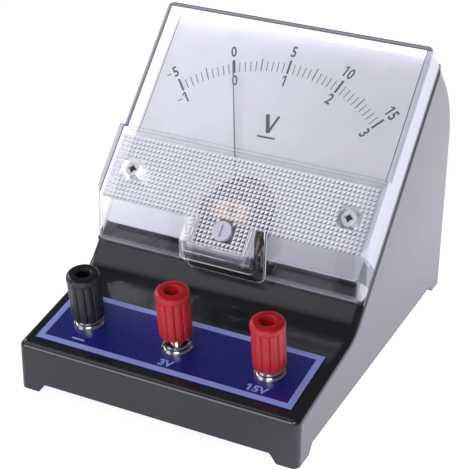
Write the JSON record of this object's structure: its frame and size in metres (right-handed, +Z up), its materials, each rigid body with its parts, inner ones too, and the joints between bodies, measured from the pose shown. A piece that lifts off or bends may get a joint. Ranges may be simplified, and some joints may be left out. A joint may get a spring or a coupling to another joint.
{
  "type": "bench voltmeter",
  "caption": "Moving-coil direct-voltage meter in a sloped-front housing, with a clear cover, a zero adjuster and binding posts that take wires or plugs.",
  "frame": {"origin": "middle of the footprint, on the surface that the feet stand on", "axes": "+X to the right of a reader at the front, +Y from the binding posts to the back, +Z up"},
  "size_m": [0.098, 0.128, 0.0994],
  "materials": {
    "black_abs": "glossy moulded black",
    "base_black": "matt black",
    "clear_styrene": "clear moulded",
    "label_blue": "printed satin",
    "plate_white": "painted white with dark print",
    "pointer_dark": "painted dark",
    "nickel": "nickel plated",
    "screw_steel": "zinc plated",
    "brass": "bright",
    "red_cap": "satin red",
    "black_cap": "satin black",
    "white_nylon": "satin white",
    "frame_zinc": "die cast",
    "soft_iron": "machined",
    "magnet": "ground",
    "copper": "enamelled winding",
    "coil_sheet": "thin sheet",
    "bronze": "spring strip",
    "resistor": "lacquered"
  },
  "bodies": {
    "housing": {"case": "black_abs", "base_plate": "base_black", "base_screws": "screw_steel", "terminal_label": "label_blue", "front_cover": "clear_styrene", "cover_screw_left": "screw_steel", "cover_screw_right": "screw_steel", "scale_plate": "plate_white", "pointer_stops": "brass", "movement_frame": "frame_zinc", "movement_screws": "screw_steel", "yoke_ring": "soft_iron", "core_magnet": "magnet", "core_spacer_upper": "brass", "core_spacer_lower": "brass", "top_bridge": "brass", "bridge_screws": "screw_steel", "front_jewel": "brass", "bottom_bridge": "brass", "rear_jewel": "brass", "post_washers": "screw_steel", "solder_tags": "nickel", "post_nuts": "nickel", "multiplier_15v": "resistor", "multiplier_3v": "resistor", "stud_common": "nickel", "stud_3v": "nickel", "stud_15v": "nickel", "rear_hairspring": "bronze"},
    "zero_adjuster": {"zero_adjuster": "white_nylon"},
    "zero_lever": {"zero_lever": "brass", "front_hairspring": "bronze"},
    "moving_coil": {"coil_former": "coil_sheet", "coil_winding": "copper", "front_pivot": "screw_steel", "rear_pivot": "screw_steel", "pointer": "pointer_dark", "balance_weights": "brass"},
    "post_insert_common": {"insert_common": "brass"},
    "post_cap_common": {"cap_common": "black_cap"},
    "post_insert_3v": {"insert_3v": "brass"},
    "post_cap_3v": {"cap_3v": "red_cap"},
    "post_insert_15v": {"insert_15v": "brass"},
    "post_cap_15v": {"cap_15v": "red_cap"}
  },
  "joints": [
    {"name": "zero_adjuster_turn", "type": "hinge", "parent": "housing", "child": "zero_adjuster", "pos_m": [0, -0.01737, 0.04679], "axis": [0, -0.7169, 0.6972], "range_deg": [-50, 50]},
    {"name": "zero_lever_swing", "type": "hinge", "parent": "housing", "child": "zero_lever", "pos_m": [0, -0.00247, 0.04332], "axis": [0, -0.7169, 0.6972], "range_deg": [-3.5, 3.5]},
    {"name": "pointer_swing", "type": "hinge", "parent": "zero_lever", "child": "moving_coil", "pos_m": [0, -0.00247, 0.04332], "axis": [0, 0.7169, -0.6972], "range_deg": [-22, 64], "stiffness_Nm_per_rad": 0.00002, "deforming": ["front_hairspring", "rear_hairspring"]},
    {"name": "post_common_rise", "type": "slide", "parent": "housing", "child": "post_insert_common", "axis": [0, -0.1452, 0.9894], "range_m": [-0.00035, 0.0036]},
    {"name": "post_common_turn", "type": "hinge", "parent": "post_insert_common", "child": "post_cap_common", "pos_m": [-0.032, -0.04817, 0.02296], "axis": [0, -0.1452, 0.9894], "range_deg": [-182, 1853.4]},
    {"name": "post_3v_rise", "type": "slide", "parent": "housing", "child": "post_insert_3v", "axis": [0, -0.1452, 0.9894], "range_m": [-0.00295, 0.001]},
    {"name": "post_3v_turn", "type": "hinge", "parent": "post_insert_3v", "child": "post_cap_3v", "pos_m": [0, -0.04855, 0.02553], "axis": [0, -0.1452, 0.9894], "range_deg": [-1519.1, 516.3]},
    {"name": "post_15v_rise", "type": "slide", "parent": "housing", "child": "post_insert_15v", "axis": [0, -0.1452, 0.9894], "range_m": [-0.00085, 0.0031]},
    {"name": "post_15v_turn", "type": "hinge", "parent": "post_insert_15v", "child": "post_cap_15v", "pos_m": [0.032, -0.04824, 0.02345], "axis": [0, -0.1452, 0.9894], "range_deg": [-439.1, 1596.3]}
  ],
  "couplings": [
    {"joint": "zero_adjuster_turn", "follows": "zero_lever_swing", "ratio": 14.166},
    {"joint": "post_common_turn", "follows": "post_common_rise", "rad_per_m": 8976},
    {"joint": "post_3v_turn", "follows": "post_3v_rise", "rad_per_m": 8976},
    {"joint": "post_15v_turn", "follows": "post_15v_rise", "rad_per_m": 8976}
  ]
}
